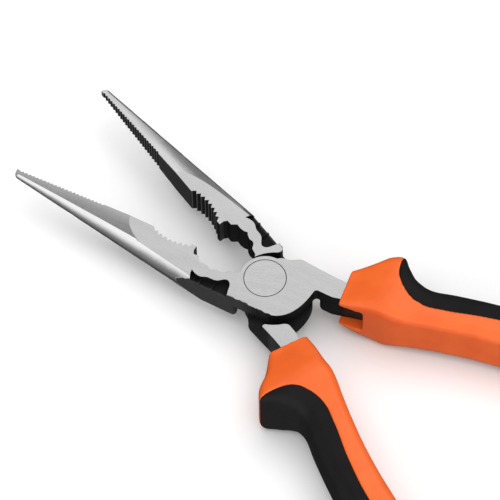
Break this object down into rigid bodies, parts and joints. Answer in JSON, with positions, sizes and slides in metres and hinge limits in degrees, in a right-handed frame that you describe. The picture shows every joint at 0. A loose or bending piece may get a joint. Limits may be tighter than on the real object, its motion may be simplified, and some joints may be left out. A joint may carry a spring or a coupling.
{
  "type": "needle nose pliers",
  "caption": "Long nose pliers with a flush lap joint, serrated tapering jaws, a scalloped pipe grip and two-tone handles with thumb guards, standing open.",
  "frame": {"origin": "pivot axis at the joint's back face, on the flat end of the rivet", "axes": "+X along the bisector of the open jaws toward their tips, +Z along the pivot axis out of the joint's front face, +Y toward the front half's jaw"},
  "size_m": [0.1993, 0.0978, 0.0203],
  "materials": {
    "ground_steel": "ground faces and noses, black oxide on the forged sides",
    "rivet_steel": "ground flush",
    "orange_shell": "satin moulded plastic",
    "black_insert": "fine matte grain"
  },
  "bodies": {
    "front": {"front_half": "ground_steel", "pivot_rivet": "rivet_steel", "front_grip_shell": "orange_shell", "front_grip_insert": "black_insert"},
    "rear": {"rear_half": "ground_steel", "rear_grip_shell": "orange_shell", "rear_grip_insert": "black_insert"}
  },
  "joints": [
    {"name": "pivot", "type": "hinge", "parent": "front", "child": "rear", "pos_m": [0, 0, 0.00475], "axis": [0, 0, 1], "range_deg": [-20, 25.3]}
  ]
}
